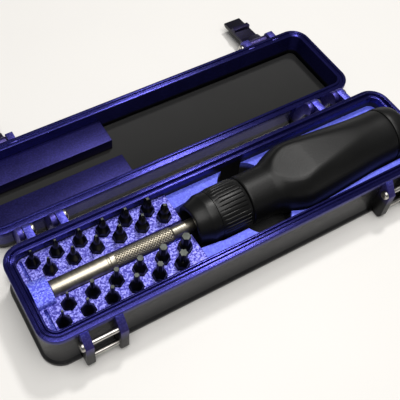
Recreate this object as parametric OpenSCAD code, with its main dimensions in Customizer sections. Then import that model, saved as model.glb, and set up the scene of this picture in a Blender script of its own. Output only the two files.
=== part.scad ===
// Precision screwdriver set: a long hinged case that opens flat, two latches on the lid,
// a ratchet screwdriver lying in the base and twenty-four hexagonal bits standing in four rows.
// X runs along the case, +Y points at the hinge, Z is up and the base stands on Z = 0.

/* [Case] */
// Length of both case halves over their rims
case_l = 230; // [200:1:260]
// Depth of one case half over its rim
case_w = 55.5; // [50:0.5:70]
// Corner radius of the rims
corner_r = 10.4; // [6:0.1:16]
// Height of the base half
base_h = 28; // [22:0.5:36]
// Height of the lid half
lid_h = 16.3; // [12:0.1:24]
// Height of the rim band that stands proud of the walls
rim_h = 3.1; // [2:0.1:6]
// How far the walls stand back from the rim
wall_inset = 1.2; // [0.6:0.1:3]
// Distance from the rim outline to the inner walls
inner_inset = 5.6; // [4:0.1:8]
// Floor thickness of the base
base_floor = 3; // [2:0.1:5]
// Floor thickness of the lid
lid_floor = 2.2; // [1.6:0.1:4]
// Height of the sealing ridge on the base rim
ridge_h = 0.9; // [0.5:0.1:1.5]
// Width of the sealing ridge
ridge_w = 0.9; // [0.6:0.1:1.5]
// Gap between the two rims when the case is shut
rim_gap = 0.3; // [0.2:0.05:0.6]

/* [Hinge and latches] */
// Distance of each hinge and latch centre from the middle of the case
station_x = 87.5; // [70:0.5:95]
// Distance of the hinge axis behind the base centre line
hinge_y = 35.4; // [32:0.1:40]
// Thickness of each rib
rib_t = 4.2; // [3:0.1:6]
// Clear width between the two ribs of a station
rib_gap = 13.4; // [10:0.1:18]
// Thickness of each lid ear
ear_t = 2.8; // [2:0.1:4]
// Radius of the hinge ears
ear_r = 3.6; // [3:0.1:5]
// Diameter of the hinge and latch screws
screw_d = 3; // [2:0.5:4]
// Diameter of the two catch rods at each latch
rod_d = 2.5; // [2:0.1:3]
// Distance of the catch rods in front of the base centre line
rod_y = 30.8; // [30:0.1:32]
// Height of the upper catch rod
rod_z_upper = 19.3; // [16:0.1:24]
// Height of the lower catch rod
rod_z_lower = 5.5; // [4:0.1:8]
// Width of the latch arm
latch_w = 11.4; // [8:0.1:13]
// Length of the latch arm from its pivot
latch_l = 29; // [24:0.5:34]
// Thickness of the latch arm
latch_t = 2.8; // [2:0.1:4]
// Droop of the latch arms when the case lies open
latch_droop = 5; // [0:0.5:10]

/* [Bits] */
// Across-flats size of the bits
bit_af = 6.35; // [4:0.05:8]
// Length of a bit
bit_l = 25; // [20:0.5:30]
// Height of the bit tips above the table
bit_top = 34.2; // [30:0.1:36]
// Across-flats size of the bit pockets
pocket_af = 7; // [6.5:0.05:8.5]
// Spacing of the bits along a row
bit_pitch = 12.4; // [9:0.1:14]
// Length of the slim neck at a bit's tip
neck_l = 6; // [4:0.5:9]

/* [Trays] */
// Height of the bit tray's top
bit_tray_top = 23; // [20:0.1:26]
// Width of the bed under the shaft, between the two inner rows
bed_w = 12; // [10.5:0.1:12]
// Height of the handle tray's top
tool_tray_top = 21.3; // [18:0.1:25]
// Middle of the seam between the two trays
seam_x = -26.2; // [-40:0.1:-10]
// Width of the seam between the two trays
seam_w = 0.8; // [0.4:0.1:2]
// Position of the two finger scoops along the case
scoop_x = 14; // [12:0.5:16]
// Distance of each scoop's centre from the tool's axis
scoop_y = 9.6; // [8:0.1:12]
// Radius of the finger scoops
scoop_r = 13.8; // [12:0.1:15]
// Height of the scoops' floor above the table
scoop_z = 9; // [6:0.5:14]
// Radius of the arched stop block at the tool's tip
stop_r = 7.3; // [6:0.1:9]

/* [Screwdriver] */
// Height of the tool's axis above the table
tool_z = 22.9; // [20:0.1:26]
// Position of the bit end of the tool
tip_x = -96.6; // [-100:0.1:-90]
// Diameter of the bit holder
holder_d = 9; // [8:0.1:11]
// Diameter of the knurled part of the shaft
knurl_d = 7.8; // [7:0.1:9]
// Diameter of the plain part of the shaft
shaft_d = 6.6; // [5:0.1:8]
// Position where the bit holder ends and the knurl begins
holder_x = -66.5; // [-80:0.5:-55]
// Position where the knurl ends
knurl_x = -35.2; // [-50:0.5:-30]
// Position of the nose face
nose_x = -24.6; // [-30:0.1:-20]
// Outer radius of the ratchet collar
collar_r = 13.5; // [10:0.1:16]
// Start of the ratchet collar
collar_x0 = -12.6; // [-16:0.1:-10]
// End of the ratchet collar
collar_x1 = 4.8; // [0:0.1:10]
// Number of ribs round the ratchet collar
collar_ribs = 36; // [24:1:72]
// Position of the seam between handle and end cap
cap_x = 96; // [90:0.5:100]
// Position of the far end of the handle
tail_x = 107; // [100:0.5:108]
// Distance of the handle's four flats from the tool's axis
facet_r = 16.1; // [15.5:0.1:18]

/* [Hidden] */
$fn = 64;

charcoal = [0.25, 0.25, 0.27];
blue = [0.33, 0.33, 0.85];
lilac = [0.5, 0.48, 0.9];
steel = [0.62, 0.6, 0.56];
black = [0.06, 0.06, 0.06];

eps = 0.02;
run_fit = 0.05;
cavity_l = case_l - 2 * inner_inset;
cavity_w = case_w - 2 * inner_inset;
lid_y = 2 * hinge_y;
hinge_z = (base_h + lid_h + rim_gap) / 2;
lid_floor_z = lid_floor;
rib_off = rib_gap / 2 + rib_t / 2;
tray_gap = 0.2;
ear_gap = 0.4;
bit_base = bit_top - bit_l;
pocket_floor = bit_base - 0.3;
row_a_y = 17.3;
row_b_y = 10.2;
row_a_x = -101.2;
row_b_x = -95.5;
cross_size = [2.4, 2.8, 3.2, 3.5, 3.9, 4.3];
pozi_size = [2.2, 2.6, 3.1, 3.5, 3.9, 4.3];
hex_size = [1.3, 2, 2.5, 3, 3.5, 4];
star_size = [1.3, 1.6, 2.2, 2.7, 3.3, 4.3];
latch_y = 102.6;
latch_z = 10.3;
tool_gap = 0.8;
collar_gap = 1.3;
core_r = 9;
core_x1 = 30;
gear_x0 = -6;
gear_x1 = 0;
gear_r = 5.4;
plug_l = 9;
plug_r = 8;

// Flat outline with rounded corners, centred
module rounded(l, w, r) {
    square([l - 2 * r, w], center = true);
    square([l, w - 2 * r], center = true);
    for (sx = [-1, 1], sy = [-1, 1])
        translate([sx * (l / 2 - r), sy * (w / 2 - r)]) circle(r);
}

// Slab that follows the rim outline at a given inset
module slab(inset, z0, z1) {
    translate([0, 0, z0])
        linear_extrude(z1 - z0)
            rounded(case_l - 2 * inset, case_w - 2 * inset, corner_r - inset);
}

// Closed ring that follows the rim outline between two insets
module ring(inset0, inset1, z0, z1) {
    translate([0, 0, z0])
        linear_extrude(z1 - z0)
            difference() {
                rounded(case_l - 2 * inset0, case_w - 2 * inset0, corner_r - inset0);
                rounded(case_l - 2 * inset1, case_w - 2 * inset1, corner_r - inset1);
            }
}

// Plate of thickness t standing across X, drawn from a side outline in Y and Z
module side_plate(x, t, pts) {
    translate([x - t / 2, 0, 0])
        rotate([90, 0, 90]) linear_extrude(t) polygon(pts);
}

// Solid cylinder along X
module rod_x(x0, x1, r) {
    translate([x0, 0, 0]) rotate([0, 90, 0]) cylinder(h = x1 - x0, r = r);
}

// Solid of revolution about the tool axis, from [x, radius] pairs
module turned(pts) {
    translate([0, 0, tool_z])
        rotate([0, 90, 0]) rotate([0, 0, 180])
            rotate_extrude() polygon([for (p = pts) [p[1], p[0]]]);
}

// Pan-head screw along X: the head sits before x0
module pan_screw(x0, x1, d) {
    rod_x(x0 - eps, x1, d / 2);
    difference() {
        union() {
            rod_x(x0 - 1.2, x0, d * 0.95);
            rod_x(x0 - 1.8, x0 - 1.2 + eps, d * 0.8);
        }
        translate([x0 - 1.9, 0, 0]) rotate([0, 90, 0]) cylinder(h = 1.3, r = d * 0.42, $fn = 6);
    }
}

module hinge_rib(x) {
    difference() {
        union() {
            side_plate(x, rib_t, [
                [case_w / 2 - 3, 0.6], [case_w / 2 + 2.2, 0.6], [hinge_y + 0.8, 6],
                [hinge_y + ear_r, hinge_z - 0.6], [hinge_y + ear_r * 0.7, hinge_z + ear_r * 0.7],
                [case_w / 2 - 2, base_h - 1.6]
            ]);
            translate([0, hinge_y, hinge_z]) rod_x(x - rib_t / 2, x + rib_t / 2, ear_r);
        }
        translate([0, hinge_y, hinge_z]) rod_x(x - rib_t, x + rib_t, screw_d / 2);
    }
}

module catch_rib(x) {
    difference() {
        side_plate(x, rib_t, [
            [-case_w / 2 + 3, 0.6], [-32.2, 0.6], [-33.6, 2.6], [-33.6, 19.5],
            [-case_w / 2 - 0.2, 26.6], [-case_w / 2 + 2, 26.6]
        ]);
        for (z = [rod_z_upper, rod_z_lower])
            translate([0, -rod_y, z]) rod_x(x - rib_t, x + rib_t, rod_d / 2);
    }
}

module base_body() {
    slab(0.1, 0, 0.5);
    slab(-0.27, 0.5, 2.6);
    slab(0.3, 2.6, 3.1);
    slab(0.8, 3.1, 3.7);
    slab(wall_inset, 3.7, base_h - rim_h);
    slab(0, base_h - rim_h, base_h - 0.3);
    slab(0.3, base_h - 0.3, base_h);
    for (s = [-1, 1], o = [-1, 1]) {
        hinge_rib(s * station_x + o * rib_off);
        catch_rib(s * station_x + o * rib_off);
    }
}

module base_shell() {
    color(charcoal) {
        difference() {
            base_body();
            slab(inner_inset, base_floor, base_h + 1);
            ring(3.1, 4.5, base_h - 1.2, base_h + 1);
        }
        ring(2.6 - ridge_w / 2, 2.6 + ridge_w / 2, base_h - eps, base_h + ridge_h);
    }
}

module lid_ear(x) {
    difference() {
        union() {
            side_plate(x, ear_t, [
                [lid_y - case_w / 2 + 3, 0.6], [lid_y - case_w / 2 - 0.6, 0.6],
                [hinge_y + 1.2, 17], [hinge_y - ear_r * 0.86, hinge_z - ear_r * 0.5],
                [hinge_y + ear_r * 0.9, hinge_z + ear_r * 0.4], [lid_y - case_w / 2 + 0.4, lid_h - 0.8],
                [lid_y - case_w / 2 + 3, lid_h - 0.8]
            ]);
            translate([0, hinge_y, hinge_z])
                rod_x(x - ear_t / 2, x + ear_t / 2, ear_r);
        }
        translate([0, hinge_y, hinge_z]) rod_x(x - rib_t, x + rib_t, screw_d / 2 + run_fit);
    }
}

module latch_rib(x) {
    far = lid_y + case_w / 2;
    difference() {
        side_plate(x, rib_t, [
            [far - 3, 0.6], [far + 2.6, 0.6], [far + 6.8, 5.2], [far + 6.8, 13.6],
            [far + 5.2, lid_h - 0.7], [far - 3, lid_h - 0.7]
        ]);
        translate([0, latch_y, latch_z]) rod_x(x - rib_t, x + rib_t, screw_d / 2);
    }
}

module lid_body() {
    translate([0, lid_y, 0]) {
        slab(wall_inset + 1.5, 0, 0.5);
        slab(wall_inset + 0.9, 0.5, 1.1);
        slab(wall_inset + 0.4, 1.1, 1.8);
        slab(wall_inset, 1.8, lid_h - rim_h);
        slab(0, lid_h - rim_h, lid_h - 0.3);
        slab(0.3, lid_h - 0.3, lid_h);
    }
    for (s = [-1, 1], o = [-1, 1]) {
        lid_ear(s * station_x + o * rib_off - (rib_t + ear_t) / 2 - ear_gap);
        latch_rib(s * station_x + o * rib_off);
    }
}

module lid_shell() {
    color(charcoal)
        difference() {
            lid_body();
            translate([0, lid_y, 0]) {
                slab(inner_inset - 0.3, lid_floor_z, lid_h + 1);
                ring(1.85, 3.75, lid_h - 0.95, lid_h + 1);
            }
        }
}

module lid_pads() {
    pad_x0 = -case_l / 2 + inner_inset - 0.1;
    pad_x1 = -28.4;
    pad_w = case_w / 2 - inner_inset + 0.1 - 5.8;
    color(lilac)
        for (s = [-1, 1])
            translate([pad_x0, lid_y + s * (5.8 + pad_w / 2) - pad_w / 2, lid_floor_z])
                intersection() {
                    cube([pad_x1 - pad_x0, pad_w, 7.5]);
                    translate([pad_x0 * -1, s * -(5.8 + pad_w / 2) + pad_w / 2, 0])
                        linear_extrude(8)
                            rounded(-2 * pad_x0, case_w - 2 * inner_inset + 0.2, 4.9);
                }
}

module tray_blank(x0, x1, top) {
    intersection() {
        slab(inner_inset + tray_gap, base_floor, top);
        translate([x0, -case_w / 2, 0]) cube([x1 - x0, case_w, top]);
    }
}

module hex_prism(af, z0, z1) {
    translate([0, 0, z0])
        rotate([0, 0, 30]) cylinder(h = z1 - z0, d = af / cos(30), $fn = 6);
}

module at_rows() {
    for (i = [0:5]) {
        translate([row_a_x + i * bit_pitch, row_a_y, 0]) children();
        translate([row_b_x + i * bit_pitch, row_b_y, 0]) children();
        translate([row_b_x + i * bit_pitch, -row_b_y, 0]) children();
        translate([row_a_x + i * bit_pitch, -row_a_y, 0]) children();
    }
}

// Everything between the two inner rows, up to the seam
module bed_space() {
    translate([-case_l / 2, -bed_w / 2, 0]) cube([case_l / 2 + seam_x, bed_w, bit_tray_top + 1]);
}

module bit_tray() {
    color(lilac)
        difference() {
            tray_blank(-case_l / 2, seam_x - seam_w / 2, bit_tray_top);
            bed_space();
            at_rows() hex_prism(pocket_af, pocket_floor, bit_tray_top + 1);
            for (s = [-1, 1])
                translate([-107.2, s * 14.2 - 6.4, bit_tray_top - 4]) cube([1.6, 12.8, 5]);
        }
}

module shaft_bed() {
    x1 = seam_x - seam_w / 2;
    color(lilac)
        difference() {
            intersection() {
                tray_blank(-case_l / 2, x1, bit_tray_top);
                bed_space();
            }
            translate([0, 0, tool_z]) rod_x(tip_x - 0.4, x1 + 1, holder_d / 2 + 0.4);
            translate([tip_x - 0.4, -holder_d / 2 - 0.4, tool_z])
                cube([x1 - tip_x + 2, holder_d + 0.8, 3]);
        }
}

// Clearance space round the tool, as a solid of revolution
module tool_space() {
    turned([
        [nose_x - 3, 0], [nose_x - 3, collar_r + tool_gap - 1.2],
        [collar_x0 - 3, collar_r + tool_gap], [collar_x0 - 1.5, collar_r + collar_gap],
        [collar_x1 + 3, collar_r + collar_gap], [20.5, collar_r + tool_gap],
        [26.5, 15.8 + tool_gap], [32, 18.2 + tool_gap], [38, 18.9 + tool_gap],
        [46, 18.6 + tool_gap], [62, 17.4 + tool_gap], [78, 16 + tool_gap],
        [tail_x + tool_gap, 15.6 + tool_gap], [tail_x + tool_gap, 0]
    ]);
}

module handle_tray() {
    color(lilac)
        difference() {
            tray_blank(seam_x + seam_w / 2, case_l / 2, tool_tray_top);
            tool_space();
            translate([seam_x - 1, -holder_d / 2 - 0.4, tool_z - holder_d / 2 - 0.4])
                cube([3, holder_d + 0.8, holder_d]);
            for (s = [-1, 1])
                translate([scoop_x, s * scoop_y, scoop_z]) cylinder(h = 20, r = scoop_r);
        }
}

module tip_stop() {
    color(blue)
        intersection() {
            translate([0, 0, tool_z]) rod_x(-109, tip_x - 0.4, stop_r);
            translate([-115, -10, bit_tray_top]) cube([30, 20, 20]);
        }
}

// One latch, drawn along +Y from a pivot at the origin, its inner side facing up
module latch() {
    color(charcoal)
        rotate([-latch_droop, 0, 0])
            difference() {
                union() {
                    rod_x(-rib_gap / 2 + 0.3, rib_gap / 2 - 0.3, 3.4);
                    side_plate(0, rib_gap - 0.6, [[0, -3.4], [9, -3.4], [9, -0.6], [3, 0.6], [0, 0.6]]);
                    side_plate(0, latch_w, [
                        [0, -3.4], [26.5, -3.4], [latch_l - 0.6, -2.8], [latch_l, -1.9], [latch_l, -1],
                        [latch_l - 0.8, -3.4 + latch_t], [20.6, -3.4 + latch_t], [19.6, 1.7],
                        [16.55, 1.7], [16.55, -3.4 + latch_t], [3, -3.4 + latch_t], [0, 0]
                    ]);
                }
                rod_x(-20, 20, screw_d / 2 + run_fit);
            }
}

module latch_left() {
    translate([-station_x, latch_y, latch_z]) latch();
}

module latch_right() {
    translate([station_x, latch_y, latch_z]) latch();
}

module hinge_screws() {
    color(steel)
        for (s = [-1, 1], o = [-1, 1])
            translate([s * station_x + o * rib_off, hinge_y, hinge_z])
                mirror([1, 0, 0]) pan_screw(-rib_t / 2, rib_t / 2 + ear_gap + ear_t - 0.2, screw_d);
}

module latch_screws() {
    color(steel)
        for (s = [-1, 1])
            translate([s * station_x, latch_y, latch_z])
                pan_screw(-rib_off - rib_t / 2, rib_off + rib_t / 2 - 0.4, screw_d);
}

module catch_screws() {
    color(steel)
        for (s = [-1, 1])
            translate([s * station_x, -rod_y, rod_z_upper])
                pan_screw(-rib_off - rib_t / 2, rib_off + rib_t / 2 - 0.4, rod_d);
}

module keeper_rods() {
    color(steel)
        for (s = [-1, 1])
            translate([s * station_x, -rod_y, rod_z_lower])
                rod_x(-rib_off - rib_t / 2 + 0.4, rib_off + rib_t / 2 - 0.4, rod_d / 2);
}

// Envelope with four long flats, closer together towards the neck
module handle_facets() {
    side = [
        [5, 14], [20, 13.7], [27, 14.2], [35, 14.9], [45, facet_r - 0.2], [60, facet_r],
        [cap_x + 1, facet_r]
    ];
    outline = concat(side, [for (i = [len(side) - 1:-1:0]) [side[i][0], -side[i][1]]]);
    translate([0, 0, tool_z])
        intersection_for(turn = [0, 90])
            rotate([turn, 0, 0]) linear_extrude(60, center = true) polygon(outline);
}

module handle_body() {
    color(black)
        difference() {
            intersection() {
                turned([
                    [5.3, 0], [5.3, 12.8], [5.9, 13.4], [20.5, 13.4], [23.5, 14.1], [27, 15.8],
                    [31, 17.5], [34.5, 18.4], [38, 18.8], [41, 18.8], [46, 18.5], [54, 17.9],
                    [62, 17.25], [70, 16.6], [79, 15.8], [88, 15.4], [95.2, 15.3], [cap_x, 15.1],
                    [cap_x, 0]
                ]);
                handle_facets();
            }
            translate([0, 0, tool_z]) {
                rod_x(5, core_x1, core_r + run_fit);
                rod_x(core_x1 - 1, core_x1 + 3, shaft_d / 2 + 0.2);
                rod_x(cap_x - plug_l - 0.5, cap_x + 1, plug_r + run_fit);
            }
        }
}

module end_cap() {
    color(black) {
        turned([
            [cap_x + 0.3, 0], [cap_x + 0.3, 15.1], [cap_x + 1, 15.4], [100, 15.2], [103, 14.7],
            [104.8, 14.1], [105.8, 13.2], [106.6, 11.6], [tail_x, 9], [tail_x, 0]
        ]);
        translate([0, 0, tool_z]) rod_x(cap_x - plug_l, cap_x + 1, plug_r);
    }
}

module ratchet_collar() {
    rib_a = 360 / collar_ribs;
    color(charcoal)
        difference() {
            union() {
                turned([
                    [collar_x0, 0], [collar_x0, 12.7], [collar_x0 + 0.6, 13.1],
                    [collar_x1 - 0.6, 13.1], [collar_x1, 12.7], [collar_x1, 0]
                ]);
                translate([collar_x0 + 2, 0, tool_z]) rotate([0, 90, 0])
                    linear_extrude(collar_x1 - collar_x0 - 3.5)
                        for (i = [0:collar_ribs - 1])
                            rotate([0, 0, i * rib_a])
                                translate([12.5, -0.8]) square([collar_r - 12.5, 1.6]);
            }
            translate([0, 0, tool_z]) rod_x(collar_x0 - 1, collar_x1 + 1, core_r + run_fit);
        }
}

module nose_bushing() {
    color(charcoal)
        difference() {
            turned([
                [nose_x, 0], [nose_x, 9.9], [nose_x + 0.5, 10.5], [-19.6, 11.95], [-17.7, 12.7],
                [-16.9, 13], [collar_x0 - 0.2, 13], [collar_x0 - 0.2, 0]
            ]);
            turned([
                [nose_x - 1, 0], [nose_x - 1, 8.2], [nose_x, 7.8], [nose_x + 3, 6.4],
                [nose_x + 3, 0]
            ]);
            translate([0, 0, tool_z]) rod_x(nose_x, 0, shaft_d / 2 + run_fit);
            translate([0, 0, tool_z]) rod_x(-16, 0, core_r + run_fit);
        }
}

module pawl_pocket(side, gap) {
    translate([gear_x0 - gap, side * 7.4 - 1.2 - gap, tool_z - 1.8 - gap])
        cube([gear_x1 - gear_x0 + 2 * gap, 2.4 + 2 * gap, 3.6 + 2 * gap]);
}

module ratchet_core() {
    color(steel)
        difference() {
            translate([0, 0, tool_z]) rod_x(-15.8, core_x1 - 0.2, core_r);
            translate([0, 0, tool_z]) {
                rod_x(-17, core_x1 + 1, shaft_d / 2 + run_fit);
                rod_x(gear_x0 - 0.4, gear_x1 + 0.4, gear_r + 0.4);
            }
            for (s = [-1, 1]) pawl_pocket(s, 0.02);
        }
}

module ratchet_gear() {
    color(steel)
        difference() {
            translate([gear_x0, 0, tool_z]) rotate([0, 90, 0])
                linear_extrude(gear_x1 - gear_x0)
                    union() {
                        circle(gear_r - 0.9);
                        for (i = [0:15])
                            rotate([0, 0, i * 22.5])
                                polygon([[0, 0], [gear_r - 1.2, -1.2], [gear_r, 0.5], [gear_r - 1.2, 0.9]]);
                    }
            translate([0, 0, tool_z]) rod_x(-20, 20, shaft_d / 2);
        }
}

module pawl_a() {
    color(steel) pawl(1);
}

module pawl_b() {
    color(steel) pawl(-1);
}

module pawl(side) {
    pawl_pocket(side, 0);
}

module shaft() {
    color(steel)
        difference() {
            union() {
                turned([
                    [tip_x, 0], [tip_x, 4.1], [tip_x + 0.4, 4.5], [-70.6, 4.5], [-70.4, 4.15],
                    [-69.6, 4.15], [-69.4, 4.5], [holder_x - 0.3, 4.5], [holder_x, 3.9],
                    [knurl_x, 3.9], [knurl_x + 0.6, shaft_d / 2], [29, shaft_d / 2], [29, 0]
                ]);
            }
            translate([tip_x - 1, 0, tool_z]) rotate([0, 90, 0])
                cylinder(h = 17.4, d = 6.5 / cos(30), $fn = 6);
        }
}

module bit_magnet() {
    color(steel)
        translate([0, 0, tool_z]) rod_x(tip_x + 13.4, tip_x + 16.4, 2.9);
}

// Hexagonal drive body with a chamfered foot and a cone that ends at the neck radius
module bit_blank(neck_r) {
    corner = bit_af / 2 / cos(30);
    cone_l = (corner - neck_r) / tan(30);
    shoulder = bit_top - neck_l;
    intersection() {
        hex_prism(bit_af, bit_base, shoulder);
        rotate_extrude()
            polygon([
                [0, bit_base], [corner - 0.6, bit_base], [corner, bit_base + 0.7],
                [corner, shoulder - cone_l], [neck_r, shoulder], [0, shoulder]
            ]);
    }
}

// Cross tip: round neck, blunt cone and four flutes
module bit_cross(size, turn) {
    neck_r = size / 2;
    flute = size * 0.3;
    color(black) {
        bit_blank(neck_r + 0.2);
        difference() {
            rotate_extrude()
                polygon([
                    [0, bit_top - neck_l - eps], [neck_r, bit_top - neck_l - eps],
                    [neck_r, bit_top - 2.2], [size * 0.24, bit_top], [0, bit_top]
                ]);
            for (a = [45:90:315])
                rotate([0, 0, a + turn])
                    translate([flute * 0.75, -size * 0.14, bit_top])
                        rotate([0, 12, 0])
                            translate([0, 0, -4]) cube([4, size * 0.28, 6]);
        }
    }
}

// Hex key tip: a plain hexagonal prism
module bit_hex(size) {
    color(black) {
        bit_blank(size / 2 / cos(30) + 0.2);
        hex_prism(size, bit_top - neck_l - eps, bit_top);
    }
}

// Star tip: six rounded lobes
module bit_star(size) {
    color(black) {
        bit_blank(size / 2 + 0.2);
        translate([0, 0, bit_top - neck_l - eps])
            linear_extrude(neck_l + eps)
                union() {
                    circle(size * 0.4);
                    for (i = [0:5])
                        rotate([0, 0, i * 60]) translate([size * 0.37, 0]) circle(size * 0.13, $fn = 24);
                }
    }
}

module cross_at(i) {
    translate([row_a_x + i * bit_pitch, row_a_y, 0]) bit_cross(cross_size[i], 0);
}

module pozi_at(i) {
    translate([row_b_x + i * bit_pitch, row_b_y, 0]) bit_cross(pozi_size[i], 20);
}

module hex_at(i) {
    translate([row_b_x + i * bit_pitch, -row_b_y, 0]) bit_hex(hex_size[i]);
}

module star_at(i) {
    translate([row_a_x + i * bit_pitch, -row_a_y, 0]) bit_star(star_size[i]);
}

module bit_cross_1() { cross_at(0); }
module bit_cross_2() { cross_at(1); }
module bit_cross_3() { cross_at(2); }
module bit_cross_4() { cross_at(3); }
module bit_cross_5() { cross_at(4); }
module bit_cross_6() { cross_at(5); }
module bit_pozi_1() { pozi_at(0); }
module bit_pozi_2() { pozi_at(1); }
module bit_pozi_3() { pozi_at(2); }
module bit_pozi_4() { pozi_at(3); }
module bit_pozi_5() { pozi_at(4); }
module bit_pozi_6() { pozi_at(5); }
module bit_hex_1() { hex_at(0); }
module bit_hex_2() { hex_at(1); }
module bit_hex_3() { hex_at(2); }
module bit_hex_4() { hex_at(3); }
module bit_hex_5() { hex_at(4); }
module bit_hex_6() { hex_at(5); }
module bit_star_1() { star_at(0); }
module bit_star_2() { star_at(1); }
module bit_star_3() { star_at(2); }
module bit_star_4() { star_at(3); }
module bit_star_5() { star_at(4); }
module bit_star_6() { star_at(5); }

base_shell();
lid_shell();
lid_pads();
bit_tray();
shaft_bed();
handle_tray();
tip_stop();
latch_left();
latch_right();
hinge_screws();
latch_screws();
catch_screws();
keeper_rods();
handle_body();
end_cap();
ratchet_collar();
nose_bushing();
ratchet_core();
ratchet_gear();
pawl_a();
pawl_b();
shaft();
bit_magnet();
bit_cross_1();
bit_cross_2();
bit_cross_3();
bit_cross_4();
bit_cross_5();
bit_cross_6();
bit_pozi_1();
bit_pozi_2();
bit_pozi_3();
bit_pozi_4();
bit_pozi_5();
bit_pozi_6();
bit_hex_1();
bit_hex_2();
bit_hex_3();
bit_hex_4();
bit_hex_5();
bit_hex_6();
bit_star_1();
bit_star_2();
bit_star_3();
bit_star_4();
bit_star_5();
bit_star_6();
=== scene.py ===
import math

import bmesh
import bpy
from mathutils import Matrix, Vector


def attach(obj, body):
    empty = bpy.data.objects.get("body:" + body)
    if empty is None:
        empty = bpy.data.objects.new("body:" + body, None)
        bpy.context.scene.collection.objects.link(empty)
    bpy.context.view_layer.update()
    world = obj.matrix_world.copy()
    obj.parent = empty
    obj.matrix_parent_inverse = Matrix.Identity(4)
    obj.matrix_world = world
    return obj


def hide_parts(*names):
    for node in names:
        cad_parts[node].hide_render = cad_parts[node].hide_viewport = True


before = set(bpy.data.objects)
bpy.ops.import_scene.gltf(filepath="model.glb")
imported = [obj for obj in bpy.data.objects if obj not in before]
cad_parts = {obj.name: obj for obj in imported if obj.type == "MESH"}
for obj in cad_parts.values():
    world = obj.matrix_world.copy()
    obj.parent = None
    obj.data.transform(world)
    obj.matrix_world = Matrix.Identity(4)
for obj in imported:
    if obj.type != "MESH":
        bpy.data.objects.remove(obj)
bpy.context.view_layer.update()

MM = 0.001
TAU = 2 * math.pi

# ---------------------------------------------------------------- sizes of the object
CASE_L, CASE_W, CORNER_R = 230.0, 55.5, 10.4
BASE_H, LID_H = 28.0, 16.3
LID_Y = 70.8
HINGE_Y, HINGE_Z = 35.4, 22.3
STATION_X, RIB_OFF, RIB_T = 87.5, 8.8, 4.2
LATCH_Y, LATCH_Z = 102.6, 10.3
ROD_Y, ROD_Z_UPPER, ROD_Z_LOWER = -30.8, 19.3, 5.5
TOOL_Z = 22.9
# the shaft's open end, and the stop block beyond it
TIP_X = -99.9
STOP_X0, STOP_X1, STOP_R, STOP_FOOT_Z = -109.3, -100.3, 7.3, 23.0
# outside radius of the bit holder, of the plain shaft, and of the ring between holder and knurl
HOLDER_R, SHAFT_R, STEP_R = 4.5, 3.3, 3.75
HANDLE_X0, HANDLE_X1 = 5.3, 96.0
BIT_TOP, BIT_L, BIT_AF, NECK_L = 34.2, 25.0, 6.35, 6.0
BIT_PITCH = 12.4
# raised pads inside the lid: their ends in X, their sides from the lid's middle line, corner and top
PAD_X0, PAD_X1, PAD_IN, PAD_OUT, PAD_CORNER_R, PAD_TOP = -109.5, -28.4, 5.8, 22.25, 4.9, 9.7
# rows of bits: place of the first bit's axis in X and Y, and the tips' sizes along the row
ROWS = {
    "cross": (-101.2, 17.3, (2.4, 2.8, 3.2, 3.5, 3.9, 4.3)),
    "pozi": (-95.5, 10.2, (2.2, 2.6, 3.1, 3.5, 3.9, 4.3)),
    "hex": (-95.5, -10.2, (1.3, 2.0, 2.5, 3.0, 3.5, 4.0)),
    "star": (-101.2, -17.3, (1.3, 1.6, 2.2, 2.7, 3.3, 4.3)),
}


# ---------------------------------------------------------------- mesh helpers
def publish(name, bm, body, material, nodes=(), angle=35.0):
    """Turns a bmesh drawn in millimetres into an object that rides on a body."""
    bmesh.ops.recalc_face_normals(bm, faces=bm.faces)
    limit = math.radians(angle)
    for face in bm.faces:
        face.smooth = True
    for edge in bm.edges:
        if len(edge.link_faces) == 2:
            edge.smooth = edge.calc_face_angle(0.0) < limit
    bmesh.ops.scale(bm, vec=(MM, MM, MM), verts=bm.verts)
    mesh = bpy.data.meshes.new(name)
    bm.to_mesh(mesh)
    bm.free()
    obj = bpy.data.objects.new(name, mesh)
    bpy.context.scene.collection.objects.link(obj)
    for one in material if isinstance(material, (list, tuple)) else [material]:
        mesh.materials.append(one)
    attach(obj, body)
    if nodes:
        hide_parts(*nodes)
    return obj


def rim_path(inset, arc=14):
    """Points of the case outline at an inset, going round once."""
    radius = CORNER_R - inset
    points = []
    for i, (sx, sy) in enumerate(((1, 1), (-1, 1), (-1, -1), (1, -1))):
        cx = sx * (CASE_L / 2 - CORNER_R)
        cy = sy * (CASE_W / 2 - CORNER_R)
        for k in range(arc + 1):
            a = (i + k / arc) * math.pi / 2
            points.append((cx + radius * math.cos(a), cy + radius * math.sin(a)))
    return points


def sweep_case(profile, centre_y):
    """Sweeps (inset, z) pairs round the case outline. Flat faces close both ends, and the last one is the
    inner floor, which gets the second material."""
    bm = bmesh.new()
    uv = bm.loops.layers.uv.new("run")
    loops, reach = [], [0.0]
    for i, (inset, z) in enumerate(profile):
        loops.append([bm.verts.new((x, y + centre_y, z)) for x, y in rim_path(inset)])
        if i:
            reach.append(reach[-1] + math.dist(profile[i - 1], profile[i]))
    count = len(loops[0])
    along = [0.0]
    for a, b in zip(rim_path(0.0), rim_path(0.0)[1:] + rim_path(0.0)[:1]):
        along.append(along[-1] + math.dist(a, b))
    for i in range(len(loops) - 1):
        for k in range(count):
            n = (k + 1) % count
            quad = (loops[i][k], loops[i][n], loops[i + 1][n], loops[i + 1][k])
            face = bm.faces.new(quad)
            for loop, (u, v) in zip(face.loops, ((k, i), (k + 1, i), (k + 1, i + 1), (k, i + 1))):
                loop[uv].uv = (along[u] * MM, reach[v] * MM)
    for cap in (loops[0], loops[-1]):
        face = bm.faces.new(cap)
        for loop in face.loops:
            loop[uv].uv = (loop.vert.co.x * MM, loop.vert.co.y * MM)
    face.material_index = 1
    return bm


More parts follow.
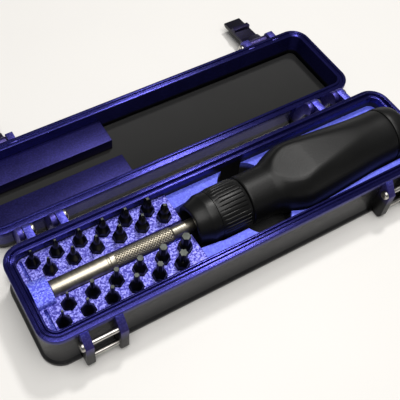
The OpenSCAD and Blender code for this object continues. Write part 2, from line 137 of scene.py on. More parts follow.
def arc_points(cy, cz, radius, start, end, steps=12):
    """Points of an arc in the Y-Z plane, angles in degrees from +Y towards +Z."""
    out = []
    for k in range(steps + 1):
        a = math.radians(start + (end - start) * k / steps)
        out.append((cy + radius * math.cos(a), cz + radius * math.sin(a)))
    return out


def add_prism(bm, outline, lo, hi, bevel=0.3, axis="X"):
    """Adds a straight prism from a side outline, with all its edges rounded off."""
    def place(p, h):
        return (h, p[0], p[1]) if axis == "X" else (p[0], p[1], h)
    ends = [[bm.verts.new(place(p, h)) for p in outline] for h in (lo, hi)]
    faces = [bm.faces.new(ends[0]), bm.faces.new(ends[1])]
    count = len(outline)
    for k in range(count):
        n = (k + 1) % count
        faces.append(bm.faces.new((ends[0][k], ends[0][n], ends[1][n], ends[1][k])))
    bmesh.ops.recalc_face_normals(bm, faces=faces)
    if bevel:
        edges = {edge for face in faces for edge in face.edges}
        sharp = [edge for edge in edges if edge.calc_face_angle(0.0) > math.radians(20)]
        bmesh.ops.bevel(
            bm, geom=sharp, offset=bevel, segments=2, profile=0.6, affect="EDGES", clamp_overlap=True
        )
    return ends


def loft(bm, stations, frame_of, count=48, tube=False, tip_from=None):
    """Joins closed rings of radius r(angle). A tube's last ring meets its first, others are capped.
    Faces wholly beyond tip_from get the second material."""
    rings = []
    for pos, radius in stations:
        ring = []
        for k in range(count):
            a = TAU * k / count
            r = radius(a) if callable(radius) else radius
            ring.append(bm.verts.new(frame_of(pos, r * math.cos(a), r * math.sin(a))))
        rings.append(ring)
    places = [pos for pos, _ in stations]
    pairs = list(zip(rings, rings[1:], places))
    if tube:
        pairs.append((rings[-1], rings[0], places[-1]))
    for a, b, pos in pairs:
        for k in range(count):
            n = (k + 1) % count
            face = bm.faces.new((a[k], a[n], b[n], b[k]))
            if tip_from is not None and pos >= tip_from:
                face.material_index = 1
    if not tube:
        bm.faces.new(rings[0])
        face = bm.faces.new(rings[-1])
        if tip_from is not None:
            face.material_index = 1
    return rings


def along_x(y, z):
    """Ring frame of a part that lies along X; angle 0 points up."""
    return lambda pos, c, s: (pos, y + s, z + c)


def along_z(x, y):
    """Ring frame of a part that stands along Z; angle 0 points along +Y."""
    return lambda pos, c, s: (x + s, y + c, pos)


def polygon_radius(sides, inner, phase=0.0):
    """Radius function of a regular polygon with the given inscribed radius."""
    step = TAU / sides

    def radius(a):
        return inner / math.cos((a - phase + step / 2) % step - step / 2)
    return radius


def smoothstep(x):
    x = min(max(x, 0.0), 1.0)
    return x * x * (3 - 2 * x)


def curve_value(points, x):
    """Monotone cubic through (x, value) pairs."""
    if x <= points[0][0]:
        return points[0][1]
    if x >= points[-1][0]:
        return points[-1][1]
    xs, ys = [p[0] for p in points], [p[1] for p in points]
    slopes = [(ys[i + 1] - ys[i]) / (xs[i + 1] - xs[i]) for i in range(len(xs) - 1)]
    tangents = [slopes[0]]
    for s0, s1 in zip(slopes, slopes[1:]):
        tangents.append(0.0 if s0 * s1 <= 0 else 2 * s0 * s1 / (s0 + s1))
    tangents.append(slopes[-1])
    i = max(k for k in range(len(xs) - 1) if xs[k] <= x)
    h = xs[i + 1] - xs[i]
    t = (x - xs[i]) / h
    return (
        ys[i] * (2 * t**3 - 3 * t**2 + 1)
        + tangents[i] * h * (t**3 - 2 * t**2 + t)
        + ys[i + 1] * (3 * t**2 - 2 * t**3)
        + tangents[i + 1] * h * (t**3 - t**2)
    )


# ---------------------------------------------------------------- materials
class Nodes:
    """Short-hand for building a material's node tree."""

    def __init__(self, name):
        self.material = bpy.data.materials.new(name)
        self.material.use_nodes = True
        self.tree = self.material.node_tree
        self.shader = self.tree.nodes["Principled BSDF"]

    def node(self, kind):
        return self.tree.nodes.new(kind)

    def link(self, source, target):
        self.tree.links.new(source, target)

    def object_z(self):
        """Object coordinates and their Z, in metres."""
        coords = self.node("ShaderNodeTexCoord").outputs["Object"]
        split = self.node("ShaderNodeSeparateXYZ")
        self.link(coords, split.inputs[0])
        return coords, split.outputs["Z"]

    def math(self, operation, a, b=0.0, clamp=False):
        made = self.tree.nodes.new("ShaderNodeMath")
        made.operation = operation
        made.use_clamp = clamp
        for socket, value in zip(made.inputs, (a, b)):
            if isinstance(value, (int, float)):
                socket.default_value = value
            else:
                self.link(value, socket)
        return made.outputs[0]

    def noise(self, coords, scale, detail=4.0, roughness=0.6):
        made = self.tree.nodes.new("ShaderNodeTexNoise")
        made.inputs["Scale"].default_value = scale
        made.inputs["Detail"].default_value = detail
        made.inputs["Roughness"].default_value = roughness
        self.link(coords, made.inputs["Vector"])
        return made.outputs["Fac"]

    def ramp(self, fac, stops, mode="LINEAR"):
        made = self.tree.nodes.new("ShaderNodeValToRGB")
        made.color_ramp.interpolation = mode
        elements = made.color_ramp.elements
        while len(elements) < len(stops):
            elements.new(0.5)
        for element, (pos, colour) in zip(elements, stops):
            element.position = pos
            element.color = (*colour, 1.0)
        self.link(fac, made.inputs[0])
        return made.outputs["Color"]

    def mix(self, fac, a, b, blend="MIX"):
        made = self.tree.nodes.new("ShaderNodeMix")
        made.data_type = "RGBA"
        made.blend_type = blend
        for socket, value in ((made.inputs[0], fac), (made.inputs[6], a), (made.inputs[7], b)):
            if isinstance(value, (int, float)):
                socket.default_value = value
            elif isinstance(value, tuple):
                socket.default_value = (*value, 1.0)
            else:
                self.link(value, socket)
        return made.outputs[2]

    def bump(self, height, strength, distance, normal=None):
        made = self.tree.nodes.new("ShaderNodeBump")
        made.inputs["Strength"].default_value = strength
        made.inputs["Distance"].default_value = distance
        self.link(height, made.inputs["Height"])
        if normal is not None:
            self.link(normal, made.inputs["Normal"])
        return made.outputs["Normal"]

    def layers(self, coords, axis, pitch_mm, wobble=0.6):
        """Fine parallel print lines across one axis."""
        made = self.tree.nodes.new("ShaderNodeTexWave")
        made.wave_type = "BANDS"
        made.bands_direction = axis
        made.inputs["Scale"].default_value = TAU / 20 / (pitch_mm * MM)
        made.inputs["Distortion"].default_value = wobble
        made.inputs["Detail"].default_value = 1.0
        made.inputs["Detail Scale"].default_value = 0.6
        self.link(coords, made.inputs["Vector"])
        return made.outputs["Fac"]


def printed(name, bands, z_lo, z_hi, rough=0.42, metallic=0.85, glint_speckle=0.25, grain=0.45, top_lines="X",
            run=False):
    """Layer-printed plastic whose colour changes with height between z_lo and z_hi.

    Each band is (level, colour, painted glint colour); the painted glints are bright specks on the fine
    grain that stand in for light catching it. top_lines is the axis across the print lines of level faces.
    With run, the print lines follow the mesh's "run" UV map, so that gloss spreads across them, and their
    colour carries a painted highlight on each ridge and painted shade in each groove.
    """
    n = Nodes(name)
    coords, z = n.object_z()
    level = n.math("DIVIDE", n.math("SUBTRACT", z, z_lo * MM), (z_hi - z_lo) * MM, clamp=True)
    patch = n.noise(coords, 90.0, 3.0)
    level = n.math("ADD", level, n.math("MULTIPLY", n.math("SUBTRACT", patch, 0.5), 0.05))
    body = n.ramp(level, [(pos, colour) for pos, colour, _ in bands])
    # painted glints: where the fine grain is high, bright specks of each band's lit colour stand in for
    # light catching the surface
    painted_glint_colours = n.ramp(level, [(pos, colour) for pos, _, colour in bands])
    worm = n.noise(coords, 1150.0, 1.5, 0.6)
    painted_glint_specks = n.ramp(worm, ((0.44, (0.0, 0.0, 0.0)), (0.62, (1.0, 1.0, 1.0))))
    colour = n.mix(n.math("MULTIPLY", painted_glint_specks, glint_speckle), body, painted_glint_colours)
    cloud_stops = ((0.3, (0.8, 0.8, 0.84)), (0.75, (1.15, 1.15, 1.12)))
    cloud = n.ramp(n.noise(coords, 45.0, 3.0), cloud_stops)
    colour = n.mix(0.7, colour, cloud, "MULTIPLY")
    if run:
        path = n.node("ShaderNodeUVMap")
        path.uv_map = "run"
        height = n.layers(path.outputs[0], "Y", 0.6, 0.15)
        # the real layer lines, coloured with a painted highlight on each ridge and painted shade in each
        # groove
        lines = n.ramp(height, ((0.25, (0.25, 0.25, 0.3)), (0.8, (1.7, 1.7, 1.7))))
        colour = n.mix(1.0, colour, lines, "MULTIPLY")
    else:
        split = n.node("ShaderNodeSeparateXYZ")
        n.link(n.node("ShaderNodeNewGeometry").outputs["Normal"], split.inputs[0])
        flatness = n.math("GREATER_THAN", n.math("ABSOLUTE", split.outputs["Z"]), 0.75)
        side = n.math("MULTIPLY", n.layers(coords, "Z", 0.28), n.math("SUBTRACT", 1.0, flatness))
        top = n.math("MULTIPLY", n.layers(coords, top_lines, 0.45), flatness)
        height = n.math("ADD", side, top)
    n.link(colour, n.shader.inputs["Base Color"])
    first = n.bump(height, 0.5 if run else 0.3, 0.00005)
    fine = n.bump(worm, grain, 0.00012, first)
    n.link(fine, n.shader.inputs["Normal"])
    spread = n.math("ADD", rough - 0.08, n.math("MULTIPLY", patch, 0.16))
    n.link(spread, n.shader.inputs["Roughness"])
    n.shader.inputs["Metallic"].default_value = metallic
    if run:
        tangent = n.node("ShaderNodeTangent")
        tangent.direction_type = "UV_MAP"
        tangent.uv_map = "run"
        n.link(tangent.outputs[0], n.shader.inputs["Tangent"])
        n.shader.inputs["Anisotropic"].default_value = 0.92
        n.shader.inputs["Anisotropic Rotation"].default_value = 0.25
    return n.material


def metal(name, colour, rough, lines=None, dark=0.55, spots=260.0, relief=0.15):
    """Steel with turning or drawing marks and faint stains."""
    n = Nodes(name)
    coords, _ = n.object_z()
    stretch = n.tree.nodes.new("ShaderNodeMapping")
    stretch.inputs["Scale"].default_value = lines or (1.0, 1.0, 1.0)
    n.link(coords, stretch.inputs["Vector"])
    marks = n.noise(stretch.outputs[0], 900.0, 3.0, 0.65)
    stain = n.noise(coords, spots, 3.0)
    shade = n.ramp(stain, ((0.3, tuple(c * dark for c in colour)), (0.62, colour)))
    marked = n.ramp(marks, ((0.35, (0.6, 0.6, 0.6)), (0.7, (1.15, 1.15, 1.15))))
    n.link(n.mix(0.25, shade, marked, "MULTIPLY"), n.shader.inputs["Base Color"])
    n.link(n.math("ADD", rough - 0.08, n.math("MULTIPLY", marks, 0.16)), n.shader.inputs["Roughness"])
    n.link(n.bump(marks, relief, 0.00003), n.shader.inputs["Normal"])
    n.shader.inputs["Metallic"].default_value = 1.0
    return n.material


def moulded(name, colour, rough, grain_scale=1800.0, grain=0.2):
    """Moulded plastic or rubber with a fine matt grain."""
    n = Nodes(name)
    coords, _ = n.object_z()
    fine = n.noise(coords, grain_scale, 2.0, 0.6)
    wide = n.noise(coords, 35.0, 3.0)
    darker, lighter = (tuple(c * factor for c in colour) for factor in (0.8, 1.25))
    n.link(n.ramp(wide, ((0.3, darker), (0.7, lighter))), n.shader.inputs["Base Color"])
    n.link(n.math("ADD", rough - 0.06, n.math("MULTIPLY", wide, 0.12)), n.shader.inputs["Roughness"])
    n.link(n.bump(fine, grain, 0.0001), n.shader.inputs["Normal"])
    n.shader.inputs["Specular IOR Level"].default_value = 0.3
    return n.material


# linear colours of the printed plastic; each _LIT one is the painted glint colour of its neighbour, shown
# as bright specks
CHARCOAL = (0.020, 0.020, 0.021)
CHARCOAL_LIT = (0.035, 0.035, 0.036)
VIOLET = (0.045, 0.035, 0.13)
BLUE = (0.06, 0.055, 0.50)
BLUE_LIT = (0.30, 0.36, 1.0)
INDIGO = (0.05, 0.045, 0.28)
INDIGO_LIT = (0.20, 0.18, 0.60)
COAL = (0.003, 0.003, 0.0032)
SLATE = (0.034, 0.034, 0.035)
NAVY = (0.022, 0.021, 0.15)
NAVY_LIT = (0.14, 0.14, 0.60)
SKY = (0.11, 0.13, 0.80)
SKY_LIT = (0.20, 0.26, 1.0)
LILAC = (0.05, 0.045, 0.32)
LILAC_LIT = (0.34, 0.34, 0.95)

shell_base = printed(
    "printed_base",
    ((0.0, SLATE, CHARCOAL_LIT), (0.85, SLATE, CHARCOAL_LIT), (0.885, NAVY, NAVY_LIT)),
    0.0, BASE_H, rough=0.24, glint_speckle=0.1, grain=0.05, run=True,
)
shell_rib = printed(
    "printed_ribs",
    (
        (0.0, CHARCOAL, CHARCOAL_LIT), (0.46, CHARCOAL, CHARCOAL_LIT), (0.7, VIOLET, INDIGO),
        (0.9, INDIGO, INDIGO_LIT), (1.0, BLUE, BLUE_LIT),
    ),
    0.0, 27.0, glint_speckle=0.4,
)
shell_lid = printed(
    "printed_lid",
    ((0.0, COAL, COAL), (0.17, COAL, COAL), (0.28, CHARCOAL, CHARCOAL_LIT), (0.36, NAVY, NAVY_LIT)),
    0.0, LID_H, rough=0.24, glint_speckle=0.1, grain=0.05, run=True,
)
lid_rib = printed(
    "printed_lid_ribs",
    (
        (0.0, CHARCOAL, CHARCOAL_LIT), (0.28, CHARCOAL, CHARCOAL_LIT), (0.36, VIOLET, INDIGO),
        (0.75, INDIGO, INDIGO_LIT),
    ),
    0.0, LID_H, glint_speckle=0.4,
)
pad_plastic = printed(
    "printed_pads",
    ((0.0, CHARCOAL, CHARCOAL_LIT), (0.3, VIOLET, INDIGO), (0.6, (0.016, 0.014, 0.085), INDIGO)),
    2.0, PAD_TOP, grain=0.15, top_lines="Y",
)
tray_plastic = printed(
    "printed_tray",
    (
        (0.0, CHARCOAL, CHARCOAL_LIT), (0.6, CHARCOAL, CHARCOAL_LIT), (0.78, BLUE, BLUE_LIT),
        (0.9, LILAC, LILAC_LIT),
    ),
    3.0, 23.0, rough=0.5, metallic=0.7, glint_speckle=0.9,
)
handle_tray_plastic = printed(
    "printed_handle_tray",
    ((0.0, CHARCOAL, CHARCOAL_LIT), (0.76, CHARCOAL, CHARCOAL_LIT), (0.9, SKY, SKY_LIT)),
    3.0, 21.3, rough=0.5, metallic=0.2, glint_speckle=0.6,
)
stop_plastic = printed(
    "printed_stop",
    ((0.0, BLUE, BLUE_LIT), (1.0, (0.09, 0.10, 0.75), BLUE_LIT)),
    22.0, 31.0, rough=0.4, metallic=0.5, glint_speckle=0.8,
)
latch_plastic = printed(
    "printed_latch",
    ((0.0, CHARCOAL, CHARCOAL_LIT), (0.6, (0.025, 0.02, 0.05), INDIGO), (1.0, VIOLET, INDIGO_LIT)),
    6.0, 14.0, rough=0.4,
)
floor_plastic = moulded("inner_floor", (0.006, 0.006, 0.0057), 0.62)
handle_plastic = moulded("handle_black", (0.003, 0.003, 0.003), 0.44, grain_scale=1000.0, grain=0.5)
collar_plastic = moulded("collar_black", (0.005, 0.005, 0.005), 0.36)
shaft_steel = metal(
    "shaft_steel", (0.50, 0.46, 0.38), 0.36, lines=(1.0, 0.05, 0.05), dark=0.9, spots=120.0, relief=0.05
)
screw_steel = metal("screw_steel", (0.60, 0.58, 0.54), 0.3)
oxide_steel = metal("bit_black_oxide", (0.035, 0.035, 0.038), 0.34)
tip_steel = metal("bit_tip_bare", (0.12, 0.13, 0.12), 0.55)
mechanism_steel = metal("mechanism_steel", (0.4, 0.4, 0.4), 0.35)


# ---------------------------------------------------------------- case halves
# (inset from the case outline, z) pairs, from the underside over the rim to the inner floor
BASE_PROFILE = (
    (0.7, 0.0), (0.2, 0.05), (0.0, 0.25), (-0.2, 0.6), (-0.26, 0.9), (-0.26, 2.4), (-0.12, 2.7),
    (0.9, 3.55), (1.2, 4.0), (1.2, 24.6), (1.1, 24.82), (0.2, 24.9), (0.04, 25.0), (0.0, 25.2),
    (0.0, 27.55), (0.12, 27.86), (0.4, 28.0), (2.05, 28.0), (2.15, 28.1), (2.2, 28.7), (2.4, 28.9),
    (2.8, 28.9), (3.0, 28.7), (3.05, 28.1), (3.12, 27.9), (3.2, 26.95), (3.35, 26.8), (4.25, 26.8),
    (4.4, 26.95), (4.5, 27.75), (4.65, 28.0), (5.35, 28.0), (5.55, 27.86), (5.6, 27.6), (5.6, 3.4),
    (5.8, 3.1), (6.2, 3.0),
)
LID_PROFILE = (
    (3.2, 0.0), (2.6, 0.1), (1.9, 0.8), (1.4, 1.5), (1.2, 2.1), (1.2, 12.9), (1.1, 13.1), (0.2, 13.2),
    (0.04, 13.3), (0.0, 13.5), (0.0, 15.85), (0.12, 16.16), (0.4, 16.3), (1.7, 16.3), (1.85, 16.18),
    (1.92, 15.5), (2.05, 15.36), (3.5, 15.36), (3.68, 15.5), (3.75, 16.18), (3.9, 16.3), (4.95, 16.3),
    (5.2, 16.16), (5.3, 15.85), (5.3, 2.9), (5.45, 2.4), (5.9, 2.2),
)

publish(
    "case_base", sweep_case(BASE_PROFILE, 0.0), "base", (shell_base, floor_plastic), ("base_shell",)
)
publish(
    "case_lid", sweep_case(LID_PROFILE, LID_Y), "lid", (shell_lid, floor_plastic), ("lid_shell",)
)

# side outlines of the ribs, as (y, z); each starts inside the case wall
EYE_R = 3.6
EAR_X0, EAR_X1 = -5.3, -2.5
catch_outline = ((-25.5, 0.6), (-32.2, 0.6), (-33.6, 2.6), (-33.6, 19.5), (-27.95, 26.6), (-25.5, 26.6))
hinge_outline = [(25.5, 0.6), (29.95, 0.6), (36.2, 6.0)]
hinge_outline += arc_points(HINGE_Y, HINGE_Z, EYE_R, -12, 105) + [(25.5, 26.4)]
ear_outline = [(45.0, 0.6), (42.45, 0.6), (36.6, 17.0)]
ear_outline += arc_points(HINGE_Y, HINGE_Z, EYE_R, 235, 15, 18) + [(43.45, 15.5), (45.0, 15.5)]
FAR_Y = LID_Y + CASE_W / 2
latch_rib_outline = (
    (FAR_Y - 2.5, 0.6), (FAR_Y + 2.6, 0.6), (FAR_Y + 6.8, 5.2), (FAR_Y + 6.8, 13.6), (FAR_Y + 5.2, 15.6),
    (FAR_Y - 2.5, 15.6),
)
ribs_base, ribs_lid = bmesh.new(), bmesh.new()
for side in (-1, 1):
    for off in (-RIB_OFF, RIB_OFF):
        x = side * STATION_X + off
        add_prism(ribs_base, catch_outline, x - RIB_T / 2, x + RIB_T / 2)
        add_prism(ribs_base, hinge_outline, x - RIB_T / 2, x + RIB_T / 2)
        add_prism(ribs_lid, ear_outline, x + EAR_X0, x + EAR_X1)
        add_prism(ribs_lid, latch_rib_outline, x - RIB_T / 2, x + RIB_T / 2)
publish("case_base_ribs", ribs_base, "base", shell_rib)
publish("case_lid_ribs", ribs_lid, "lid", lid_rib)

# ---------------------------------------------------------------- lid pads and trays
pads = bmesh.new()
corner = []
for degrees in range(90, -1, -10):
    a = math.radians(degrees)
    corner.append((
        PAD_X0 + PAD_CORNER_R - PAD_CORNER_R * math.sin(a),
        PAD_OUT - PAD_CORNER_R + PAD_CORNER_R * math.cos(a),
    ))
for side in (-1, 1):
    outline = [(PAD_X0, PAD_IN)] + corner + [(PAD_X1, PAD_OUT), (PAD_X1, PAD_IN)]
    outline = [(x, LID_Y + side * y) for x, y in outline]
    add_prism(pads, outline, 2.2, PAD_TOP, 0.45, axis="Z")
publish("lid_bit_pads", pads, "lid", pad_plastic, ("lid_pads",))

# the trays and the hidden mechanism stay as the CAD's own meshes, with detailed materials
for node, material in (
    ("bit_tray", tray_plastic), ("shaft_bed", tray_plastic), ("handle_tray", handle_tray_plastic),
    ("ratchet_core", mechanism_steel), ("ratchet_gear", mechanism_steel),
    ("pawl_a", mechanism_steel), ("pawl_b", mechanism_steel), ("bit_magnet", mechanism_steel),
):
    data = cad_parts[node].data
    data.materials.clear()
    data.materials.append(material)

# stop block: a half cylinder built up in visible layers
LAYER = 0.36
steps = []
z = STOP_FOOT_Z
while z < TOOL_Z + STOP_R - 0.05:
    top = min(z + LAYER, TOOL_Z + STOP_R)
    half = math.sqrt(max(STOP_R**2 - (z - TOOL_Z) ** 2, 0.0))
    steps += [(half, z + 0.05), (half, top - 0.02)]
    z = top
stop = bmesh.new()
outline = steps + [(-y, z) for y, z in reversed(steps)]
add_prism(stop, outline, STOP_X0, STOP_X1, 0.0)
publish("tip_stop_layers", stop, "base", stop_plastic, ("tip_stop",))


# ---------------------------------------------------------------- screws and rods
def screw(bm, x0, x1, y, z, diameter):
    """Pan-head screw along X with a hexagonal recess; its head lies beyond x0, away from x1."""
    r = diameter / 2
    out = math.copysign(1.0, x0 - x1)
    recess = polygon_radius(6, diameter * 0.36)
    head = (
        (0.0, r), (0.0, r * 1.75), (0.12, r * 1.88), (1.0, r * 1.86), (1.45, r * 1.7), (1.72, r * 1.4),
        (1.8, r * 1.05), (1.78, recess), (0.7, recess),
    )
    stations = [(x1, r * 0.8), (x1 + 0.3 * out, r)]
    stations += [(x0 + out * reach, radius) for reach, radius in head]
    loft(bm, stations, along_x(y, z), 36)


# ends of a long screw and of a rod, from the middle of their station; the screw's head is at the first
SCREW_HEAD, SCREW_END = -10.9, 10.5
PIVOT_D, CATCH_D = 3.0, 2.5
ROD_SHAPE = ((-10.5, 1.0), (-10.3, CATCH_D / 2), (10.3, CATCH_D / 2), (10.5, 1.0))
hinge_bm, latch_bm, catch_bm, rod_bm = (bmesh.new() for _ in range(4))
for side in (-1, 1):
    x = side * STATION_X
    for off in (-RIB_OFF, RIB_OFF):
        screw(hinge_bm, x + off + RIB_T / 2, x + off - 5.1, HINGE_Y, HINGE_Z, PIVOT_D)
    screw(latch_bm, x + SCREW_HEAD, x + SCREW_END, LATCH_Y, LATCH_Z, PIVOT_D)
    screw(catch_bm, x + SCREW_HEAD, x + SCREW_END, ROD_Y, ROD_Z_UPPER, CATCH_D)
    loft(rod_bm, [(x + end, r) for end, r in ROD_SHAPE], along_x(ROD_Y, ROD_Z_LOWER), 32)
publish("hinge_screws_detail", hinge_bm, "base", screw_steel, ("hinge_screws",))
publish("latch_screws_detail", latch_bm, "lid", screw_steel, ("latch_screws",))
publish("catch_screws_detail", catch_bm, "base", screw_steel, ("catch_screws",))
publish("keeper_rods_detail", rod_bm, "base", screw_steel, ("keeper_rods",))

# ---------------------------------------------------------------- latches
# side outlines with the pivot at the origin: y runs along the arm, z across it
ARM_OUTLINE = (
    (0.0, -3.35), (26.5, -3.4), (28.4, -2.8), (29.0, -1.9), (29.0, -1.0), (28.2, -0.6), (20.6, -0.6),
    (19.6, 1.7), (16.6, 1.7), (16.55, -0.6), (3.0, -0.6), (0.0, 0.0),
)
ROOT_OUTLINE = ((0.0, -3.35), (9.0, -3.38), (9.0, -0.55), (3.0, 0.6), (0.0, 0.6))
ROOT_HALF_W, ARM_HALF_W = 6.4, 5.7
DROOP = math.radians(-5.0)
for side, name in ((-1, "left"), (1, "right")):
    latch = bmesh.new()
    add_prism(latch, ROOT_OUTLINE, -ROOT_HALF_W, ROOT_HALF_W)
    add_prism(latch, ARM_OUTLINE, -ARM_HALF_W, ARM_HALF_W)
    knuckle = [(-6.4, 1.6), (-6.4, 3.1), (-6.1, 3.4), (6.1, 3.4), (6.4, 3.1), (6.4, 1.6)]
    loft(latch, knuckle, along_x(0.0, 0.0), 40, tube=True)
    bmesh.ops.rotate(latch, cent=(0, 0, 0), matrix=Matrix.Rotation(DROOP, 3, "X"), verts=latch.verts)
    bmesh.ops.translate(latch, vec=(side * STATION_X, LATCH_Y, LATCH_Z), verts=latch.verts)
    publish("latch_arm_" + name, latch, name + "_latch", latch_plastic, ("latch_" + name,))

# ---------------------------------------------------------------- bits
HEX_CORNER = BIT_AF / 2 / math.cos(math.pi / 6)
hex_body = polygon_radius(6, BIT_AF / 2, math.pi / 6)


def limited(limit):
    """The hexagonal body's radius function, cut back by a cone of the given radius."""
    return lambda a: min(hex_body(a), limit)


def cross_tip(size, turn, z):
    """Fluted radius function of a cross tip at height z: the last 2.2 mm taper to about half."""
    top = BIT_TOP - z
    taper = 2.2
    r0 = size / 2 if top > taper else size * (0.24 + 0.26 * top / taper)
    depth = 0.5 * smoothstep((4.2 - top) / 2.6)

    def radius(a):
        wave = 0.5 + 0.5 * math.cos(4 * (a - turn))
        return r0 * (1.0 - depth * wave**0.7)
    return radius


def bit_stations(kind, size):
    """Stations of one bit from its foot to its tip."""
    shoulder = BIT_TOP - NECK_L
    neck = size / 2 / (math.cos(math.pi / 6) if kind == "hex" else 1.0)
    cone = (HEX_CORNER - neck) / math.tan(math.pi / 6)
    foot = BIT_TOP - BIT_L
    stations = [(foot, limited(HEX_CORNER - 0.6)), (foot + 0.7, hex_body)]
    for k in range(9):
        t = k / 8
        stations.append((shoulder - cone * (1 - t), limited(HEX_CORNER - (HEX_CORNER - neck) * t)))
    if kind == "hex":
        tip = polygon_radius(6, size / 2, math.pi / 6)
        stations += [(shoulder + 0.3, tip), (BIT_TOP - 0.18, tip),
                     (BIT_TOP, polygon_radius(6, size / 2 - 0.15, math.pi / 6))]
    elif kind == "star":
        def lobes(r):
            return lambda a: r * (0.88 + 0.12 * math.cos(6 * a))
        stations += [(shoulder + 0.3, lobes(size / 2)), (BIT_TOP - 0.18, lobes(size / 2)),
                     (BIT_TOP, lobes(size / 2 - 0.15))]
    else:
        turn = 0.0 if kind == "cross" else math.radians(20)
        for z in [shoulder + 0.3 + 0.4 * k for k in range(14)] + [BIT_TOP - 0.12, BIT_TOP]:
            stations.append((z, cross_tip(size, turn, z)))
    return stations


for kind, (x0, y, sizes) in ROWS.items():
    for i, size in enumerate(sizes):
        bit = bmesh.new()
        loft(bit, bit_stations(kind, size), along_z(x0 + i * BIT_PITCH, y), 48, tip_from=BIT_TOP - 0.2)
        label = f"{kind}_{i + 1}"
        publish(
            "bit_" + label + "_detail", bit, "loose_" + label, (oxide_steel, tip_steel),
            ("bit_" + label,), 28,
        )

# ---------------------------------------------------------------- shaft
KNURL_N, KNURL_PITCH, KNURL_DEPTH, KNURL_R = 16, 1.6, 0.45, 3.9
KNURL_X0, KNURL_STEP, KNURL_COUNT = -66.2, 0.2, 154


def knurl_radius(x):
    """Diamond knurl at a place along the shaft."""
    def radius(a):
        turn = a * KNURL_N / TAU
        u, v = turn + x / KNURL_PITCH, turn - x / KNURL_PITCH
        ridge = min(abs((u % 1.0) - 0.5), abs((v % 1.0) - 0.5)) * 2
        return KNURL_R - KNURL_DEPTH * (1.0 - ridge)
    return radius


socket = polygon_radius(6, 3.25)
shaft_stations = [
    (-83.5, socket), (-99.5, socket), (TIP_X, polygon_radius(6, 3.5)), (TIP_X, 4.1), (-99.75, 4.36),
    (-99.4, HOLDER_R), (-70.8, HOLDER_R), (-70.6, 4.4), (-70.45, 4.15), (-69.55, 4.15), (-69.4, 4.4),
    (-69.2, HOLDER_R), (-67.0, HOLDER_R), (-66.65, 4.4), (-66.5, 4.1), (-66.4, STEP_R),
]
for k in range(KNURL_COUNT):
    x = KNURL_X0 + KNURL_STEP * k
    shaft_stations.append((x, knurl_radius(x)))
shaft_stations += [
    (-35.4, STEP_R), (-35.2, 3.6), (-34.8, 3.35), (-34.6, SHAFT_R), (28.7, SHAFT_R), (29.0, 3.0),
]
shaft = bmesh.new()
loft(shaft, shaft_stations, along_x(0.0, TOOL_Z), 128)
publish("shaft_detail", shaft, "spindle", shaft_steel, ("shaft",), 25)

# ---------------------------------------------------------------- collar, nose and cap
COLLAR_RIBS = 36


def ribbed(low, high):
    """Flat-topped ribs with narrow grooves, between two radii."""
    def radius(a):
        wave = abs(((a * COLLAR_RIBS / TAU) % 1.0) - 0.5) * 2
        return low + (high - low) * smoothstep((1.0 - wave) * 3.2)
    return radius


collar = bmesh.new()
loft(collar, [
    (-12.6, 9.1), (-12.6, 12.85), (-12.5, 12.98), (-12.0, 13.0), (-11.0, ribbed(12.97, 13.2)),
    (-9.0, ribbed(12.95, 13.5)), (3.0, ribbed(12.95, 13.5)), (3.2, ribbed(13.0, 13.45)), (3.4, 13.35),
    (4.3, 13.3), (4.65, 13.1), (4.8, 12.7), (4.8, 9.1),
], along_x(0.0, TOOL_Z), 288, tube=True)
publish("ratchet_collar_detail", collar, "selector", collar_plastic, ("ratchet_collar",), 45)

nose = bmesh.new()
loft(nose, [
    (-12.7, 9.1), (-12.7, 12.85), (-12.8, 12.98), (-13.2, 13.0), (-16.9, 12.98), (-17.3, 12.9),
    (-17.7, 12.72), (-18.3, 12.45), (-19.6, 11.95), (-21.0, 11.5), (-22.6, 11.0), (-24.0, 10.55),
    (-24.4, 10.3), (-24.6, 9.9), (-24.6, 8.3), (-24.5, 8.0), (-23.8, 7.6), (-22.2, 6.7), (-21.7, 6.2),
    (-21.6, 5.8), (-21.6, 3.4),
], along_x(0.0, TOOL_Z), 96, tube=True)
publish("nose_ring_detail", nose, "driver", collar_plastic, ("nose_bushing",), 40)

cap = bmesh.new()
loft(cap, [
    (87.0, 7.7), (87.3, 8.0), (96.3, 8.0), (96.3, 14.9), (96.42, 15.2), (96.8, 15.38), (98.5, 15.38),
    (100.0, 15.27), (101.5, 15.07), (103.0, 14.75), (104.0, 14.42), (104.8, 14.05), (105.4, 13.55),
    (105.9, 12.9), (106.4, 11.8), (106.75, 10.5), (106.95, 9.0), (107.0, 7.0), (107.0, 3.0),
], along_x(0.0, TOOL_Z), 96)
publish("end_cap_detail", cap, "cap", handle_plastic, ("end_cap",), 40)

# ---------------------------------------------------------------- handle
# (x, radius) of the handle's round outline, and (x, distance from the axis) of its two flats
HANDLE_CURVE = (
    (HANDLE_X0, 12.8), (5.9, 13.35), (8.0, 13.4), (20.0, 13.45), (23.5, 14.2), (27.0, 15.8),
    (31.0, 17.4), (34.5, 18.4), (38.0, 18.8), (41.0, 18.75), (46.0, 18.5), (54.0, 17.9), (62.0, 17.25),
    (70.0, 16.6), (80.0, 15.8), (88.0, 15.4), (94.0, 15.3), (95.6, 15.2), (HANDLE_X1, 15.0),
)
FLAT_CURVE = ((20.0, 13.6), (27.0, 14.1), (34.7, 14.9), (45.0, 15.9), (60.0, 16.1), (HANDLE_X1, 16.1))
FLAT_X0, FLAT_FADE, FLAT_BLEND = 20.0, 6.0, 0.8
BORE_R, REAR_BORE_R, REAR_BORE_X = 9.05, 8.05, 86.5


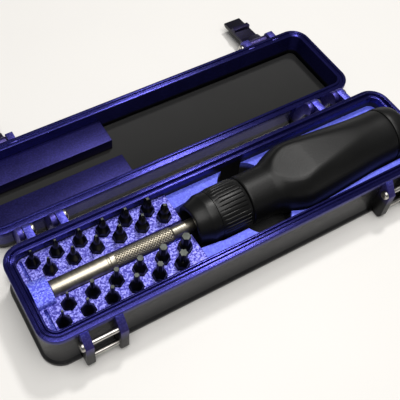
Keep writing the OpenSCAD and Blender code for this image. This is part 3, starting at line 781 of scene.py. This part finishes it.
def handle_radius(x):
    """Round neck and tail, with two long soft-edged flats between them, above and below."""
    base = curve_value(HANDLE_CURVE, x)
    flat = curve_value(FLAT_CURVE, x)
    amount = smoothstep((x - FLAT_X0) / FLAT_FADE)

    def radius(a):
        step = TAU / 2
        d = (a + step / 2) % step - step / 2
        wall = flat / max(math.cos(d), 0.2)
        h = max(FLAT_BLEND - abs(base - wall), 0.0) / FLAT_BLEND
        return base + amount * (min(base, wall) - h * h * FLAT_BLEND * 0.25 - base)
    return radius


handle = bmesh.new()
xs = [HANDLE_X0, 5.5, 5.9, 6.4, 7.2] + [8.0 + 0.8 * k for k in range(109)] + [95.2, 95.6, 95.85, HANDLE_X1]
stations = [(HANDLE_X0, BORE_R)] + [(x, handle_radius(x)) for x in xs]
stations += [(HANDLE_X1, REAR_BORE_R), (REAR_BORE_X, REAR_BORE_R)]
loft(handle, stations, along_x(0.0, TOOL_Z), 144)
publish("handle_grip", handle, "driver", handle_plastic, ("handle_body",), angle=50)

# ---------------------------------------------------------------- surroundings, light and camera
floor = bpy.data.meshes.new("floor")
floor.from_pydata([(-3, -3, 0), (3, -3, 0), (3, 3, 0), (-3, 3, 0)], [], [(0, 1, 2, 3)])
floor_obj = bpy.data.objects.new("floor", floor)
bpy.context.scene.collection.objects.link(floor_obj)
table = Nodes("pale_table")
coords, _ = table.object_z()
table.link(
    table.ramp(table.noise(coords, 6.0, 3.0), ((0.3, (0.84, 0.825, 0.80)), (0.7, (0.86, 0.845, 0.82)))),
    table.shader.inputs["Base Color"],
)
table.shader.inputs["Roughness"].default_value = 0.5
floor.materials.append(table.material)

world = bpy.data.worlds.new("studio")
bpy.context.scene.world = world
world.use_nodes = True
world.node_tree.nodes["Background"].inputs["Color"].default_value = (0.95, 0.97, 1.0, 1.0)
world.node_tree.nodes["Background"].inputs["Strength"].default_value = 0.12


def softbox(name, location, target, size, power, colour):
    """A rectangular area light aimed at a point; lengths in metres."""
    data = bpy.data.lights.new(name, "AREA")
    data.shape = "RECTANGLE"
    data.size, data.size_y = size
    data.energy = power
    data.color = colour
    obj = bpy.data.objects.new(name, data)
    obj.location = location
    obj.rotation_mode = "QUATERNION"
    obj.rotation_quaternion = (Vector(target) - Vector(location)).to_track_quat("-Z", "Y")
    bpy.context.scene.collection.objects.link(obj)


LIGHT_TARGET = (0.0, 0.03, 0.0)
WARM = (1.0, 0.985, 0.96)
softbox("key", (-0.05, -0.2, 1.25), LIGHT_TARGET, (1.1, 1.1), 14.5, WARM)
softbox("window", (0.45, 0.40, 1.12), LIGHT_TARGET, (0.14, 0.14), 5.5, WARM)

# the camera's own right, down and ahead directions, and its place in metres, as fitted to the case's edges
CAMERA_ROWS = (
    (0.8715687, -0.4896504, 0.0246902),
    (-0.3937136, -0.7290347, -0.5599091),
    (0.2921596, 0.4782788, -0.8281861),
)
CAMERA_PLACE = (-0.137327, -0.148824, 0.311140)
camera_data = bpy.data.cameras.new("camera")
camera_data.sensor_width = 36.0
camera_data.lens = 62.256
camera_data.shift_x = 0.11766
camera_data.shift_y = 0.02033
camera_data.clip_start = 0.01
camera_data.clip_end = 20.0
camera = bpy.data.objects.new("camera", camera_data)
right, down, ahead = (Vector(row) for row in CAMERA_ROWS)
turn = Matrix((right, -down, -ahead)).transposed().to_4x4()
camera.matrix_world = Matrix.Translation(Vector(CAMERA_PLACE)) @ turn
bpy.context.scene.collection.objects.link(camera)
bpy.context.scene.camera = camera
bpy.context.scene.view_settings.view_transform = "Standard"

bpy.context.view_layer.update()
